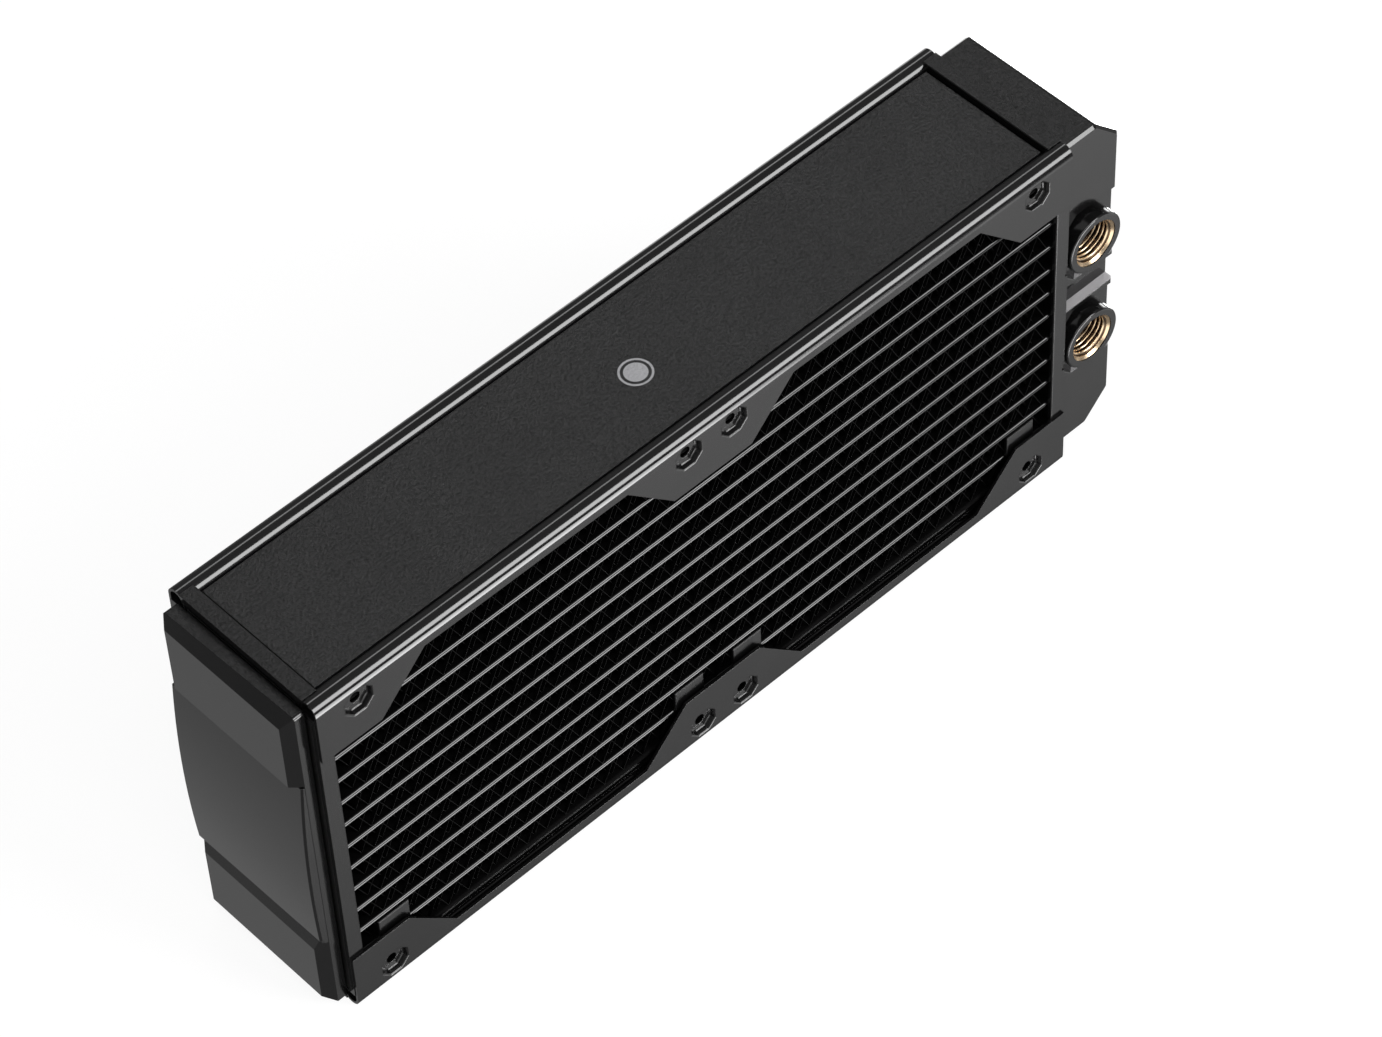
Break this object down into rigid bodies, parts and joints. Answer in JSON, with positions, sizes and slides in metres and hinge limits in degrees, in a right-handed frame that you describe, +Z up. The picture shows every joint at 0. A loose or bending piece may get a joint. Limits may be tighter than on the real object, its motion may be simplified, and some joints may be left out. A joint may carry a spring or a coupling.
{
  "type": "liquid cooling radiator",
  "caption": "Slim rectangular computer cooling radiator with flat tubes, zigzag fins, end tanks, fan screw flanges and side-by-side threaded ports.",
  "frame": {"origin": "centre of the front screw pattern, on the plane of the screw seats", "axes": "+X along the length towards the ported end, +Y from the front face through the core to the rear face, +Z up with the part standing on a long side"},
  "size_m": [0.2784, 0.0531, 0.12],
  "materials": {
    "frame_paint": "semi-gloss black",
    "panel_paint": "fine textured black",
    "cover_paint": "satin black",
    "core_paint": "semi-gloss black",
    "fin_paint": "dark satin black",
    "tank_paint": "satin black",
    "port_paint": "satin black",
    "brass": "machined"
  },
  "bodies": {
    "root": {"front_upper_flange": "frame_paint", "front_lower_flange": "frame_paint", "rear_upper_flange": "frame_paint", "rear_lower_flange": "frame_paint", "port_end_collar": "frame_paint", "return_end_collar": "frame_paint", "port_header_plate": "core_paint", "return_header_plate": "core_paint", "front_flat_tubes": "core_paint", "rear_flat_tubes": "core_paint", "front_fin_strips": "fin_paint", "rear_fin_strips": "fin_paint", "upper_core_plate": "core_paint", "lower_core_plate": "core_paint", "upper_side_panel": "panel_paint", "lower_side_panel": "panel_paint", "screw_guards": "frame_paint", "return_cover": "cover_paint", "return_cover_insert": "cover_paint", "return_tank": "tank_paint", "port_cover": "cover_paint", "port_tank": "tank_paint", "tank_divider": "tank_paint", "upper_port_collar": "port_paint", "lower_port_collar": "port_paint", "upper_port_insert": "brass", "lower_port_insert": "brass"}
  },
  "joints": []
}
